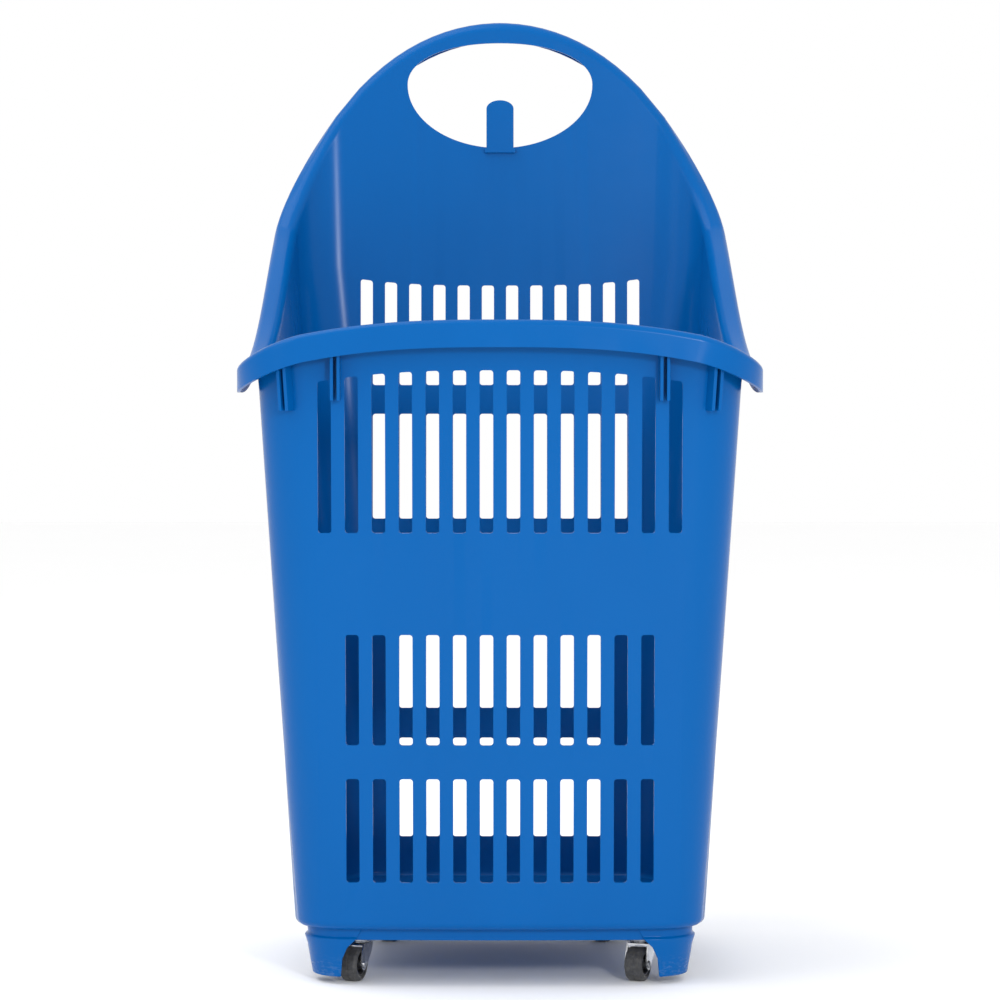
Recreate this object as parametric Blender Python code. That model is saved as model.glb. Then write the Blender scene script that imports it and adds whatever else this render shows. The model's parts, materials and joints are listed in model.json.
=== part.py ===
"""Rolling basket trolley: a tall one-piece plastic basket with an arched back, on four swivel casters.

Metres, +Z up. The low front rim faces -Y, and the origin is under the middle of the bounding box.
"""

import math

import bmesh
import bpy
from mathutils import Matrix, Vector

# Basket tub: outer faces at the level of the floor's underside
FLOOR_Z = 0.052
FRONT_HALF = 0.1870
REAR_HALF = 0.1640
DEPTH_HALF = 0.1673
DRAFT = 0.0625  # how far each wall leans out for each metre of height
FRONT_BOW = 0.004  # how far the front wall's middle stands proud of its ends
FRONT_RADIUS = 0.048
REAR_RADIUS = 0.053
WALL = 0.003
BOTTOM_EDGE = 0.007
CORNER_STEPS = 5
CORNER_START = 0.08  # the share of a corner's turn that its first column has made

# Rim: the height of its top surface along the front, the sides and the arch
RIM_FRONT_Z = 0.603
RIM_DROOP = 0.0225
RIM_DROOP_AT = 0.213
DROOP_POWER = 2.7
RIM_LOW_Z = 0.5620  # at the rear end of each front corner
LOW_SLOPE = -0.03
SIDE_END_Z = 0.691  # where each side meets its rear corner
SIDE_END_SLOPE = 0.50
CORNER_START_SLOPE = 0.94  # along the wall, at the start of the rear corner and at its end
CORNER_END_SLOPE = 1.46
CORNER_END_Z = 0.811
ARCH_TOP_Z = 0.9025
ARCH_BEND = 2.95  # how fast the arch falls with the square of the distance from its middle, per metre
ARCH_SHOULDER = 22.0  # and with its fourth power, per cubic metre

# Rim section: how far it stands out, its fillet under the top and its turned-down lip
FLANGE = 0.0185
FILLET = 0.007
LIP_RADIUS = 0.003
LIP_DROP = 0.0245
REAR_LIP_DROP = 0.018

# Slots, counted for each row from the lowest; the rear's last two rows are short vents and the upper group
PITCH = 0.0241
SLOT = 0.012
REAR_PITCH = 0.0266  # of every rear row but the upper group
REAR_SLOT = 0.0136
FRONT_SLOTS = (12, 12, 14)
SIDE_SLOTS = (10, 10, 12)
REAR_SLOTS = (8, 8, 10, 10, 12)
FRONT_LEVELS = (0.0960, 0.1905, 0.2210, 0.3210, 0.4125, 0.5580)
SIDE_LEVELS = (0.0955, 0.1910, 0.2210, 0.3210, 0.4105, 0.5180)
REAR_LEVELS = (0.0940, 0.1915, 0.2210, 0.3210, 0.4085, 0.5125)
UPPER_LEVELS = (0.541, 0.556, 0.587, 0.640)  # of the vents and the upper group
OUTER_SLOT_DROOP = 0.0102  # how much lower the outermost top-row front slot ends than the middle one
OUTER_SLOT_RISE = 0.0063  # how much higher the outermost upper slot ends than the middle one

# Handle opening and the tongue that stands in it
HANDLE_HALF = 0.092
HANDLE_MIDDLE_Z = 0.840
HANDLE_UP = 0.0415
HANDLE_DOWN = 0.063
HANDLE_POWER = 2.15  # how square its upper half is; 2 would be an ellipse
HANDLE_CUT = 0.012  # how far each way from the panel's middle it is cut
TONGUE_HALF = 0.0135
TONGUE_FOOT_Z = 0.776
TONGUE_SHOULDER_Z = 0.816
TONGUE_TOP_Z = 0.8245
TONGUE_THICK = 0.009

# Underside: plinth ring, corner legs, caster pads and floor ribs
UNDER_Z = 0.0415
PLINTH_INSET = 0.012
RIB = 0.004
PAD_HALF = 0.022
LEG_WALL = 0.004
LEG_STEPS = 3  # round the corner
LEG_LEVELS = (
    (0.0540, 0.0105, 0.124, 0.066),  # height, inset, inner end from the middle, length along the side
    (0.0445, 0.0105, 0.129, 0.064),
    (0.0425, 0.0075, 0.1305, 0.063),
    (0.0345, 0.0095, 0.1385, 0.060),
    (0.0240, 0.0106, 0.1430, 0.058),
    (0.0070, 0.0125, 0.1445, 0.057),
)

# Gusset blades under the rim: distance from the middle and height of the lower end
BLADES = ((0.146, 0.531), (0.190, 0.522))
BLADE = 0.003
BLADE_DEPTH = 0.013
BLADE_SPACING = 0.006

# Casters: where their swivel axes stand, and how far they are turned
FRONT_CASTER = (0.130, -0.117)
REAR_CASTER = (0.104, 0.113)
REST_SWIVEL = math.radians(21)

# Wheel: how far its axle trails the swivel axis, then radii and half widths from the tread inwards
TRAIL = 0.011
WHEEL_RADIUS = 0.0155
TREAD_HALF = 0.0045
GROOVE_DEPTH = 0.0005
GROOVE_HALF = 0.0006
SHOULDER_RADIUS = 0.0150
SHOULDER_HALF = 0.0073
SIDEWALL_RADIUS = 0.0135
WHEEL_HALF = 0.0085
TYRE_SEAT = 0.0112
HUB_HALF = 0.0075
HUB_RIM_RADII = (0.0086, 0.0092)  # of its inside, at the web and at the edge
WEB_HALF = 0.0028
BOSS_RADII = (0.0042, 0.0046)  # at its end and at the web
BOSS_HALF = 0.0086
AXLE_RADIUS = 0.002
AXLE_HEAD = 0.0034
HEAD_THICK = 0.0012
HEAD_BEVEL = 0.0006

# Fork: bent sheet, with a crown plate over two cheeks
SHEET = 0.0015
FORK_TOP_Z = 0.0340
CHEEK_INNER = 0.0092
CHEEK_FRONT = 0.0095
CHEEK_BACK = 0.0115
CHEEK_END = 0.0055
CROWN_NOSE = (0.005, 0.0125)

# Swivel head, kingpin, plate and screws
RACE_RADIUS = 0.0120
RACE_FOOT = 0.0105
RACE_FOOT_RISE = 0.0015
RACE_BEVEL = 0.001
KINGPIN_RADIUS = 0.003
KINGPIN_HEAD = 0.0046
KINGPIN_HEAD_THICK = 0.0016
PLATE_HALF = 0.019
PLATE_THICK = 0.002
SCREW_OFFSET = 0.0145
SCREW_RADIUS = 0.0016
SCREW_HEAD = 0.0032
SCREW_HEAD_THICK = 0.0018
SCREW_POINT = 0.0005
SCREW_POINT_LENGTH = 0.002
SCREW_END_Z = 0.050
SCREW_HOLE = 0.00205

GAP = 0.0003  # clearance between neighbouring pieces
HOLE_SIDES = 6
PIN_SIDES = 10
HUB_SIDES = 16
TYRE_SIDES = 20


def clear_scene():
    for old in list(bpy.data.objects):
        bpy.data.objects.remove(old, do_unlink=True)


def make_material(name, color, roughness, metallic=0.0):
    made = bpy.data.materials.new(name)
    made.use_nodes = True
    shader = made.node_tree.nodes["Principled BSDF"]
    shader.inputs["Base Color"].default_value = (*color, 1.0)
    shader.inputs["Roughness"].default_value = roughness
    shader.inputs["Metallic"].default_value = metallic
    return made


def add_object(name, mesh, finish=None, parent=None):
    made = bpy.data.objects.new(name, mesh)
    bpy.context.scene.collection.objects.link(made)
    made.parent = parent
    if finish and not mesh.materials:
        mesh.materials.append(finish)
    return made


def add_empty(name, place, turn=0.0, parent=None):
    made = add_object(name, None, parent=parent)
    made.location = place
    made.rotation_euler = (0.0, 0.0, turn)
    return made


def mesh_of(shape, name, outward=True):
    if outward:
        bmesh.ops.recalc_face_normals(shape, faces=shape.faces)
    mesh = bpy.data.meshes.new(name)
    shape.to_mesh(mesh)
    shape.free()
    return mesh


def shaded(mesh, angle=35):
    mesh.shade_smooth()
    mesh.set_sharp_from_angle(angle=math.radians(angle))
    return mesh


def mix(a, b, share):
    return a + (b - a) * share


def hermite(start, end, start_slope, end_slope, length, share):
    """Height at a share of the way along, with the given slopes at both ends."""
    s2, s3 = share**2, share**3
    return (
        (2 * s3 - 3 * s2 + 1) * start
        + (s3 - 2 * s2 + share) * length * start_slope
        + (3 * s2 - 2 * s3) * end
        + (s3 - s2) * length * end_slope
    )


# --- Basic solids ---


def prism(near, far):
    """A closed solid between two outlines with the same number of points."""
    shape = bmesh.new()
    loops = [[shape.verts.new(point) for point in outline] for outline in (near, far)]
    count = len(near)
    shape.faces.new(loops[0])
    shape.faces.new(reversed(loops[1]))
    for i in range(count):
        j = (i + 1) % count
        shape.faces.new((loops[0][i], loops[1][i], loops[1][j], loops[0][j]))
    return mesh_of(shape, "prism")


def block(low, high):
    corners = [(low[0], low[1]), (high[0], low[1]), (high[0], high[1]), (low[0], high[1])]
    return prism([(x, y, low[2]) for x, y in corners], [(x, y, high[2]) for x, y in corners])


def turned(profile, segments, axis="Z"):
    """A ring or a solid of revolution from a closed profile of (radius, height) points."""
    shape = bmesh.new()
    rings = []
    for radius, height in profile:
        if radius == 0.0:
            rings.append([shape.verts.new((0.0, 0.0, height))] * segments)
            continue
        angles = (2 * math.pi * i / segments for i in range(segments))
        rings.append([shape.verts.new((radius * math.cos(a), radius * math.sin(a), height)) for a in angles])
    pairs = list(zip(rings, rings[1:]))
    if profile[0][0] > 0.0:
        pairs.append((rings[-1], rings[0]))
    for lower, upper in pairs:
        for i in range(segments):
            j = (i + 1) % segments
            corners = list(dict.fromkeys((lower[i], lower[j], upper[j], upper[i])))
            if len(corners) > 2:
                shape.faces.new(corners)
    if axis == "X":
        bmesh.ops.rotate(shape, verts=shape.verts, matrix=Matrix.Rotation(math.pi / 2, 3, "Y"))
    return mesh_of(shape, "turned")


def drill(radius, low, high, sides, axis="Z"):
    return turned(((0.0, low), (radius, low), (radius, high), (0.0, high)), sides, axis)


def joined(meshes):
    """Several meshes in one, each still a body of its own."""
    shape = bmesh.new()
    for mesh in meshes:
        shape.from_mesh(mesh)
    return mesh_of(shape, "joined", outward=False)


def combined(base, steps, modifiers=()):
    """The mesh that a chain of Booleans makes; each step is (operation, mesh)."""
    helpers = [add_object("base", base)]
    for kind, settings in modifiers:
        modifier = helpers[0].modifiers.new(kind, kind)
        for name, value in settings.items():
            setattr(modifier, name, value)
    for operation, mesh in steps:
        helpers.append(add_object("operand", mesh))
        modifier = helpers[0].modifiers.new(operation, "BOOLEAN")
        modifier.operation = operation
        modifier.object = helpers[-1]
    graph = bpy.context.evaluated_depsgraph_get()
    made = bpy.data.meshes.new_from_object(helpers[0].evaluated_get(graph))
    for helper in helpers:
        bpy.data.objects.remove(helper, do_unlink=True)
    return made


# --- Plan of the tub: the right half of a rounded trapezoid that grows with height ---


class Plan:
    def __init__(self, z, inset=0.0):
        grow = DRAFT * (z - FLOOR_Z) - inset
        self.front_radius = FRONT_RADIUS - inset
        self.rear_radius = REAR_RADIUS - inset
        self.front = Vector((FRONT_HALF + grow - self.front_radius, self.front_radius - DEPTH_HALF - grow))
        self.rear = Vector((REAR_HALF + grow - self.rear_radius, DEPTH_HALF + grow - self.rear_radius))
        between = self.rear - self.front
        heading = math.atan2(between.y, between.x)
        # The straight side touches both corner arcs, so its normal follows from their radii.
        self.side_angle = heading - math.acos((self.front_radius - self.rear_radius) / between.length)

    def front_arc(self, angle):
        return self.arc(self.front, self.front_radius, angle)

    def rear_arc(self, angle):
        return self.arc(self.rear, self.rear_radius, angle)

    @staticmethod
    def arc(centre, radius, angle):
        normal = Vector((math.cos(angle), math.sin(angle)))
        return centre + radius * normal, normal

    def front_angle(self, x):
        return math.asin(max(0.0, x - self.front.x) / self.front_radius) - math.pi / 2

    def rear_angle(self, x):
        return math.pi / 2 - math.asin(max(0.0, x - self.rear.x) / self.rear_radius)

    def side_front_angle(self, y):
        return min(self.side_angle, math.asin(min(1.0, (y - self.front.y) / self.front_radius)))

    def side_rear_angle(self, y):
        return max(self.side_angle, math.asin(max(-1.0, (y - self.rear.y) / self.rear_radius)))

    def side_start_y(self):
        return self.front_arc(self.side_angle)[0].y

    def side_end_y(self):
        return self.rear_arc(self.side_angle)[0].y

    def on_front(self, x):
        if x > self.front.x:
            return self.front_arc(self.front_angle(x))
        bow = FRONT_BOW * (1 - (x / self.front.x) ** 2)
        lean = math.atan(2 * FRONT_BOW * x / self.front.x**2)
        return Vector((x, self.front.y - self.front_radius - bow)), Vector((math.sin(lean), -math.cos(lean)))

    def on_side(self, y):
        if self.side_front_angle(y) < self.side_angle:
            return self.front_arc(self.side_front_angle(y))
        if self.side_rear_angle(y) > self.side_angle:
            return self.rear_arc(self.side_rear_angle(y))
        touch, normal = self.front_arc(self.side_angle)
        return Vector((touch.x - (y - touch.y) * normal.y / normal.x, y)), normal

    def on_rear(self, x):
        if x > self.rear.x:
            return self.rear_arc(self.rear_angle(x))
        return Vector((x, self.rear.y + self.rear_radius)), Vector((0.0, 1.0))

    def on_front_corner(self, share):
        start, end = self.front_angle(FRONT_END), self.side_front_angle(-SIDE_END)
        return self.front_arc(mix(start, end, share))

    def on_rear_corner(self, share):
        start, end = self.side_rear_angle(SIDE_END), self.rear_angle(REAR_END)
        return self.rear_arc(mix(start, end, share))


def slot_edge(number, side, pitch=PITCH, width=SLOT):
    """How far from a wall's middle a slot's inner (-1) or outer (+1) edge is."""
    return (number + 0.5) * pitch + side * width / 2


FRONT_END = slot_edge(FRONT_SLOTS[2] // 2 - 1, 1)
SIDE_END = slot_edge(SIDE_SLOTS[2] // 2 - 1, 1)
REAR_LOWER_END = slot_edge(REAR_SLOTS[2] // 2 - 1, 1, REAR_PITCH, REAR_SLOT)
REAR_UPPER_END = slot_edge(REAR_SLOTS[-1] // 2 - 1, 1)
REAR_STEP = 0.004  # the lower wall's columns between its last slot and the corner
REAR_END = REAR_LOWER_END + 2 * REAR_STEP


class Column:
    """One line up the tub's wall, with the slot, if any, that begins there."""

    def __init__(self, wall, place, upper=None, slot=None):
        self.wall = wall
        self.place = place
        self.upper = place if upper is None else upper
        self.slot = slot
        self.rim_z = self.rim_height()
        self.levels = self.level_heights()

    def point(self, z, inset=0.0):
        """Point on the outer face, and the normal there."""
        _, vent_top, group_bottom, _ = UPPER_LEVELS
        share = min(1.0, max(0.0, (z - vent_top) / (group_bottom - vent_top)))
        spot, normal = getattr(Plan(z, inset), "on_" + self.wall)(mix(self.place, self.upper, share))
        return Vector((spot.x, spot.y, z)), Vector((normal.x, normal.y, 0.0))

    def rim_height(self):
        if self.wall == "front":
            return RIM_FRONT_Z - rim_droop(self.place)
        if self.wall == "front_corner":
            begin = Plan(RIM_LOW_Z).front.x
            start = RIM_FRONT_Z - rim_droop(begin)
            start_slope = -DROOP_POWER * rim_droop(begin) / begin
            length = (FRONT_RADIUS + FLANGE) * math.pi / 2
            return hermite(start, RIM_LOW_Z, start_slope, LOW_SLOPE, length, self.place)
        if self.wall == "side":
            begin, end = Plan(RIM_LOW_Z).side_start_y(), Plan(SIDE_END_Z).side_end_y()
            share = (self.place - begin) / (end - begin)
            return hermite(RIM_LOW_Z, SIDE_END_Z, LOW_SLOPE, SIDE_END_SLOPE, end - begin, share)
        if self.wall == "rear_corner":
            length = REAR_RADIUS * math.pi / 2
            end = arch_height(Plan(CORNER_END_Z).rear.x)
            return hermite(SIDE_END_Z, end, CORNER_START_SLOPE, CORNER_END_SLOPE, length, self.place)
        return arch_height(self.upper)

    def level_heights(self):
        """Heights of the slot rows' ends at this column, from the lowest."""
        if self.wall == "front":
            droop = OUTER_SLOT_DROOP * (self.place / FRONT_END) ** DROOP_POWER
            levels = (*FRONT_LEVELS[:5], FRONT_LEVELS[5] - droop)
        elif self.wall == "front_corner":
            start = (*FRONT_LEVELS[:5], FRONT_LEVELS[5] - OUTER_SLOT_DROOP)
            levels = tuple(mix(a, b, self.place) for a, b in zip(start, SIDE_LEVELS))
        elif self.wall == "side":
            levels = SIDE_LEVELS
        else:
            share = self.place if self.wall == "rear_corner" else 1.0
            levels = tuple(mix(a, b, share) for a, b in zip(SIDE_LEVELS, REAR_LEVELS))
        return levels + self.upper_levels(levels[5])

    def upper_levels(self, top):
        step = (self.rim_z - WALL - FILLET - top) / (len(UPPER_LEVELS) + 1)
        plain = tuple(top + i * step for i in range(1, len(UPPER_LEVELS) + 1))
        if self.wall == "rear":
            rise = OUTER_SLOT_RISE * (min(self.upper, REAR_UPPER_END) / REAR_UPPER_END) ** 3
            return (*UPPER_LEVELS[:-1], UPPER_LEVELS[-1] + rise)
        if self.wall == "rear_corner":
            rear = (*UPPER_LEVELS[:-1], UPPER_LEVELS[-1] + OUTER_SLOT_RISE)
            return tuple(mix(a, b, self.place) for a, b in zip(plain, rear))
        return plain


def rim_droop(x):
    """How much lower the front rim is at this distance from its middle."""
    return RIM_DROOP * (x / RIM_DROOP_AT) ** DROOP_POWER


def arch_height(x):
    return ARCH_TOP_Z - ARCH_BEND * x**2 - ARCH_SHOULDER * x**4


def tub_columns():
    """The right half's columns, from the front wall's middle round to the rear wall's middle."""
    front = [Column("front", 0.0)]
    for n in range(FRONT_SLOTS[2] // 2):
        front += [Column("front", slot_edge(n, -1), slot=n), Column("front", slot_edge(n, 1))]
    shares = [mix(CORNER_START, 1 - CORNER_START, i / (CORNER_STEPS - 1)) for i in range(CORNER_STEPS)]
    front_corner = [Column("front_corner", share) for share in shares]
    side = []
    for n in range(-SIDE_SLOTS[2] // 2, SIDE_SLOTS[2] // 2):
        number = n if n >= 0 else -n - 1
        middle = (n + 0.5) * PITCH
        side += [Column("side", middle - SLOT / 2, slot=number), Column("side", middle + SLOT / 2)]
    rear_corner = [Column("rear_corner", share) for share in shares]
    rear = [Column("rear", 0.0)]
    for n in range(REAR_SLOTS[-1] // 2):
        places = [slot_edge(n, side_of, REAR_PITCH, REAR_SLOT) for side_of in (-1, 1)]
        if n >= REAR_SLOTS[2] // 2:
            places = [REAR_LOWER_END + REAR_STEP, REAR_END]
        rear.append(Column("rear", places[0], slot_edge(n, -1)))
        rear.append(Column("rear", places[1], slot_edge(n, 1), slot=n))
    return front + front_corner + side + rear_corner + rear[::-1]


def is_open(column, row):
    """Whether the strip that begins at this column is a slot in this row."""
    if column.slot is None:
        return False
    counts = {"front": FRONT_SLOTS, "side": SIDE_SLOTS, "rear": REAR_SLOTS}[column.wall]
    return row < len(counts) and column.slot < counts[row] // 2


def rim_section(column):
    """The rim's underside from the wall outwards: how far out, and how far above the wall's top."""
    towards_rear = {"rear_corner": column.place, "rear": 1.0}.get(column.wall, 0.0)
    drop = mix(LIP_DROP, REAR_LIP_DROP, towards_rear)
    reach = FLANGE - WALL
    part_way = FILLET * (1 - math.sqrt(0.5))
    return (
        (0.0, -FILLET),
        (part_way, -part_way),
        (FILLET, 0.0),
        (reach - LIP_RADIUS, 0.0),
        (reach, -LIP_RADIUS),
        (reach, WALL - drop),
    )


def rim_frames(columns):
    """At each column: the top of the wall, outwards, and upwards at right angles to the rim's run."""
    tops = [column.point(column.rim_z - WALL) for column in columns]
    frames = []
    for i, (top, normal) in enumerate(tops):
        before, after = tops[max(i - 1, 0)][0], tops[min(i + 1, len(tops) - 1)][0]
        run = after - before
        if i in (0, len(tops) - 1):
            run = Vector((run.x, 0.0, 0.0))
        up = normal.cross(run).normalized()
        frames.append((top, normal, up if up.z > 0 else -up))
    return frames


FIRST_SLOT_STATION = 2  # the point of a column's line at which its lowest slot begins


def tub_sheet(columns):
    """The outer face of the right half: floor, walls with slots, the rim's underside and the lip's inside."""
    shape = bmesh.new()
    grid = []
    for column, (top, outward, up) in zip(columns, rim_frames(columns)):
        foot, normal = column.point(FLOOR_Z)
        points = [foot - BOTTOM_EDGE * normal, column.point(FLOOR_Z + BOTTOM_EDGE)[0]]
        points += [column.point(z)[0] for z in column.levels]
        points += [top + out * outward + rise * up for out, rise in rim_section(column)]
        grid.append([shape.verts.new(point) for point in points])
    for column, here, there in zip(columns, grid, grid[1:]):
        for station in range(len(here) - 1):
            row, above_slot = divmod(station - FIRST_SLOT_STATION, 2)
            if row < 0 or above_slot or not is_open(column, row):
                shape.faces.new((here[station], there[station], there[station + 1], here[station + 1]))
    shape.faces.new([line[0] for line in reversed(grid)])
    for line in (grid[0], grid[-1]):
        for vertex in line:
            vertex.co.x = 0.0
    return mesh_of(shape, "tub sheet", outward=False)


# --- What is added to the tub and cut out of it ---


def outline_at(z, inset):
    """The tub's whole outline at one height, with straight runs between coarse corners."""
    plan = Plan(z, inset)
    right = [plan.on_front(0.0)[0], plan.on_front(plan.front.x / 2)[0]]
    shares = [i / CORNER_STEPS for i in range(CORNER_STEPS + 1)]
    right += [plan.front_arc(mix(-math.pi / 2, plan.side_angle, share))[0] for share in shares]
    right += [plan.rear_arc(mix(plan.side_angle, math.pi / 2, share))[0] for share in shares]
    left = [Vector((-spot.x, spot.y)) for spot in reversed(right[1:])]
    return [(spot.x, spot.y, z) for spot in right + left]


def plinth_ring():
    shape = bmesh.new()
    top = FLOOR_Z + WALL / 2
    inner = PLINTH_INSET + RIB
    corners = ((UNDER_Z, PLINTH_INSET), (top, PLINTH_INSET), (top, inner), (UNDER_Z, inner))
    loops = [[shape.verts.new(point) for point in outline_at(z, inset)] for z, inset in corners]
    for one, other in zip(loops, loops[1:] + loops[:1]):
        for i in range(len(one)):
            shape.faces.new((one[i - 1], one[i], other[i], other[i - 1]))
    return mesh_of(shape, "plinth ring")


def floor_ribs():
    """Ribs under the floor that tie the caster pads together, from pad to pad."""
    top = FLOOR_Z + WALL / 2
    front_x, front_y = FRONT_CASTER
    rear_x, rear_y = REAR_CASTER
    reach = PAD_HALF - RIB / 2
    cross = [
        block((-half + reach, y - RIB / 2, UNDER_Z), (half - reach, y + RIB / 2, top))
        for half, y in ((front_x, front_y), (rear_x, rear_y))
    ]
    shared_x = (front_x + rear_x) / 2
    low_y, high_y = front_y + reach, rear_y - reach
    along = [
        block((x - RIB / 2, low_y, UNDER_Z), (x + RIB / 2, high_y, top)) for x in (-shared_x, shared_x)
    ]
    return cross + along


def caster_places():
    for end, (x, y) in (("front", FRONT_CASTER), ("rear", REAR_CASTER)):
        for side, name in ((-1, "left"), (1, "right")):
            yield f"{end}_{name}", Vector((side * x, y, 0.0))


def caster_pads():
    top = FLOOR_Z + WALL / 2
    return [
        block((at.x - PAD_HALF, at.y - PAD_HALF, UNDER_Z), (at.x + PAD_HALF, at.y + PAD_HALF, top))
        for _, at in caster_places()
    ]


def screw_places():
    for dx in (-SCREW_OFFSET, SCREW_OFFSET):
        for dy in (-SCREW_OFFSET, SCREW_OFFSET):
            yield dx, dy


def screw_drills(low, high, at):
    """Four drills, one for each screw of the caster at this place."""
    drills = []
    for dx, dy in screw_places():
        made = drill(SCREW_HOLE, low, high, HOLE_SIDES)
        made.transform(Matrix.Translation((at.x + dx, at.y + dy, 0.0)))
        drills.append(made)
    return drills


def screw_holes():
    low, high = UNDER_Z - PLATE_THICK, SCREW_END_Z + GAP
    return joined([made for _, at in caster_places() for made in screw_drills(low, high, at)])


def leg_path(plan, front, inner_end, side_length):
    """A leg's outline, from its inner end on the front or rear wall round the corner to the side."""
    if front:
        begin, start, arc = plan.on_front(inner_end)[0], plan.front_angle(inner_end), plan.front_arc
        finish = plan.on_side(-DEPTH_HALF + side_length)[0]
    else:
        inner_end -= FRONT_HALF - REAR_HALF
        begin, start, arc = plan.on_rear(inner_end)[0], plan.rear_angle(inner_end), plan.rear_arc
        finish = plan.on_side(DEPTH_HALF - side_length)[0]
    turns = [arc(mix(start, plan.side_angle, i / LEG_STEPS))[0] for i in range(1, LEG_STEPS + 1)]
    return [begin, *turns, finish]


def corner_leg(front, side):
    """A tapered leg that hugs one corner and guards the caster behind it."""
    shape = bmesh.new()
    rings = []
    for z, inset, inner_end, side_length in LEG_LEVELS:
        outer = leg_path(Plan(z, inset), front, inner_end, side_length)
        inner = leg_path(Plan(z, inset + LEG_WALL), front, inner_end, side_length)
        rings.append([shape.verts.new((side * spot.x, spot.y, z)) for spot in outer + inner[::-1]])
    count = len(rings[0])
    steps = count // 2
    for upper, lower in zip(rings, rings[1:]):
        for i in range(count):
            j = (i + 1) % count
            shape.faces.new((upper[i], upper[j], lower[j], lower[i]))
    for ring in (rings[0], rings[-1]):
        for i in range(steps - 1):
            shape.faces.new((ring[i], ring[i + 1], ring[count - 2 - i], ring[count - 1 - i]))
    return mesh_of(shape, "leg")


def front_column(x):
    """The column of the front wall or its corner that starts from this distance from the middle."""
    if x <= FRONT_END:
        return Column("front", x)
    plan = Plan(RIM_LOW_Z)
    start, end = plan.front_angle(FRONT_END), plan.side_angle
    return Column("front_corner", (plan.front_angle(x) - start) / (end - start))


def gusset_blade(x, lower_z, side, shift):
    """One upright blade between the front wall and the rim's underside."""
    outward = front_column(x).point(lower_z)[1]
    outlines = []
    for edge in (-BLADE / 2, BLADE / 2):
        column = front_column(x + shift + edge)
        upper_z = column.rim_z - WALL / 2
        corners = ((lower_z, -WALL / 2), (lower_z, BLADE_DEPTH), (upper_z, BLADE_DEPTH), (upper_z, -WALL / 2))
        spots = [column.point(z)[0] + out * outward for z, out in corners]
        outlines.append([(side * spot.x, spot.y, spot.z) for spot in spots])
    return prism(*outlines)


def gusset_blades():
    return joined([
        gusset_blade(x, lower_z, side, shift * BLADE_SPACING / 2)
        for x, lower_z in BLADES
        for side in (-1, 1)
        for shift in (-1, 1)
    ])


def panel_y(z):
    """The rear panel's middle."""
    return DEPTH_HALF + DRAFT * (z - FLOOR_Z) - WALL / 2


def panel_prism(outline, near, far):
    """A solid across the rear panel, leaning with it, from an outline of (x, z) points."""
    return prism(
        [(x, panel_y(z) + near, z) for x, z in outline],
        [(x, panel_y(z) + far, z) for x, z in outline],
    )


def handle_outline(steps=28):
    points = []
    for i in range(steps):
        angle = 2 * math.pi * i / steps
        across, up = math.cos(angle), math.sin(angle)
        if up > 0.0:
            across = math.copysign(abs(across) ** (2 / HANDLE_POWER), across)
            up = HANDLE_UP * up ** (2 / HANDLE_POWER)
        else:
            up = HANDLE_DOWN * up
        points.append((HANDLE_HALF * across, HANDLE_MIDDLE_Z + up))
    return points


def tongue_outline(steps=6):
    points = [(-TONGUE_HALF, TONGUE_FOOT_Z), (TONGUE_HALF, TONGUE_FOOT_Z)]
    for i in range(steps + 1):
        angle = math.pi * i / steps
        rise = (TONGUE_TOP_Z - TONGUE_SHOULDER_Z) * math.sin(angle)
        points.append((TONGUE_HALF * math.cos(angle), TONGUE_SHOULDER_Z + rise))
    return points


def tub_mesh():
    sheet = tub_sheet(tub_columns())
    legs = [corner_leg(front, side) for front in (True, False) for side in (-1, 1)]
    modifiers = (
        ("MIRROR", {"use_axis": (True, False, False), "merge_threshold": 0.0001}),
        ("SOLIDIFY", {"thickness": WALL, "offset": -1.0, "use_even_offset": True}),
    )
    steps = [
        ("DIFFERENCE", panel_prism(handle_outline(), -HANDLE_CUT, HANDLE_CUT)),
        ("UNION", panel_prism(tongue_outline(), -TONGUE_THICK / 2, TONGUE_THICK / 2)),
        ("UNION", joined([plinth_ring(), gusset_blades(), *caster_pads()])),
        ("UNION", joined([*legs, *floor_ribs()])),
        ("DIFFERENCE", screw_holes()),
    ]
    return combined(sheet, steps, modifiers)


def centring():
    """Moves the object along Y so that its bounding box is centred on the origin."""
    front = DEPTH_HALF + DRAFT * (RIM_FRONT_Z - WALL - FLOOR_Z) + FRONT_BOW + FLANGE
    rear = DEPTH_HALF + DRAFT * (ARCH_TOP_Z - WALL - FLOOR_Z) + FLANGE
    return (front - rear) / 2


# --- Caster pieces, each about the swivel axis with the floor at z = 0 ---


def both_ways(half, *middle):
    """A closed profile from one half of it, outermost end first, and what lies between the halves."""
    return [(radius, -along) for radius, along in half] + list(middle) + list(reversed(half))


def plate_mesh():
    top = UNDER_Z - GAP
    plate = block((-PLATE_HALF, -PLATE_HALF, top - PLATE_THICK), (PLATE_HALF, PLATE_HALF, top))
    low, high = top - 2 * PLATE_THICK, top + PLATE_THICK
    drills = [drill(KINGPIN_RADIUS + GAP, low, high, PIN_SIDES), *screw_drills(low, high, Vector((0.0, 0.0)))]
    return combined(plate, [("DIFFERENCE", joined(drills))])


def race_mesh():
    """The turned swivel head between the plate and the fork."""
    top = UNDER_Z - PLATE_THICK - 2 * GAP
    bottom = FORK_TOP_Z + GAP
    bore = KINGPIN_RADIUS + GAP
    return turned(((bore, bottom), (RACE_FOOT, bottom), (RACE_RADIUS, bottom + RACE_FOOT_RISE),
                   (RACE_RADIUS, top - RACE_BEVEL), (RACE_RADIUS - RACE_BEVEL, top), (bore, top)), HUB_SIDES)


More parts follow.
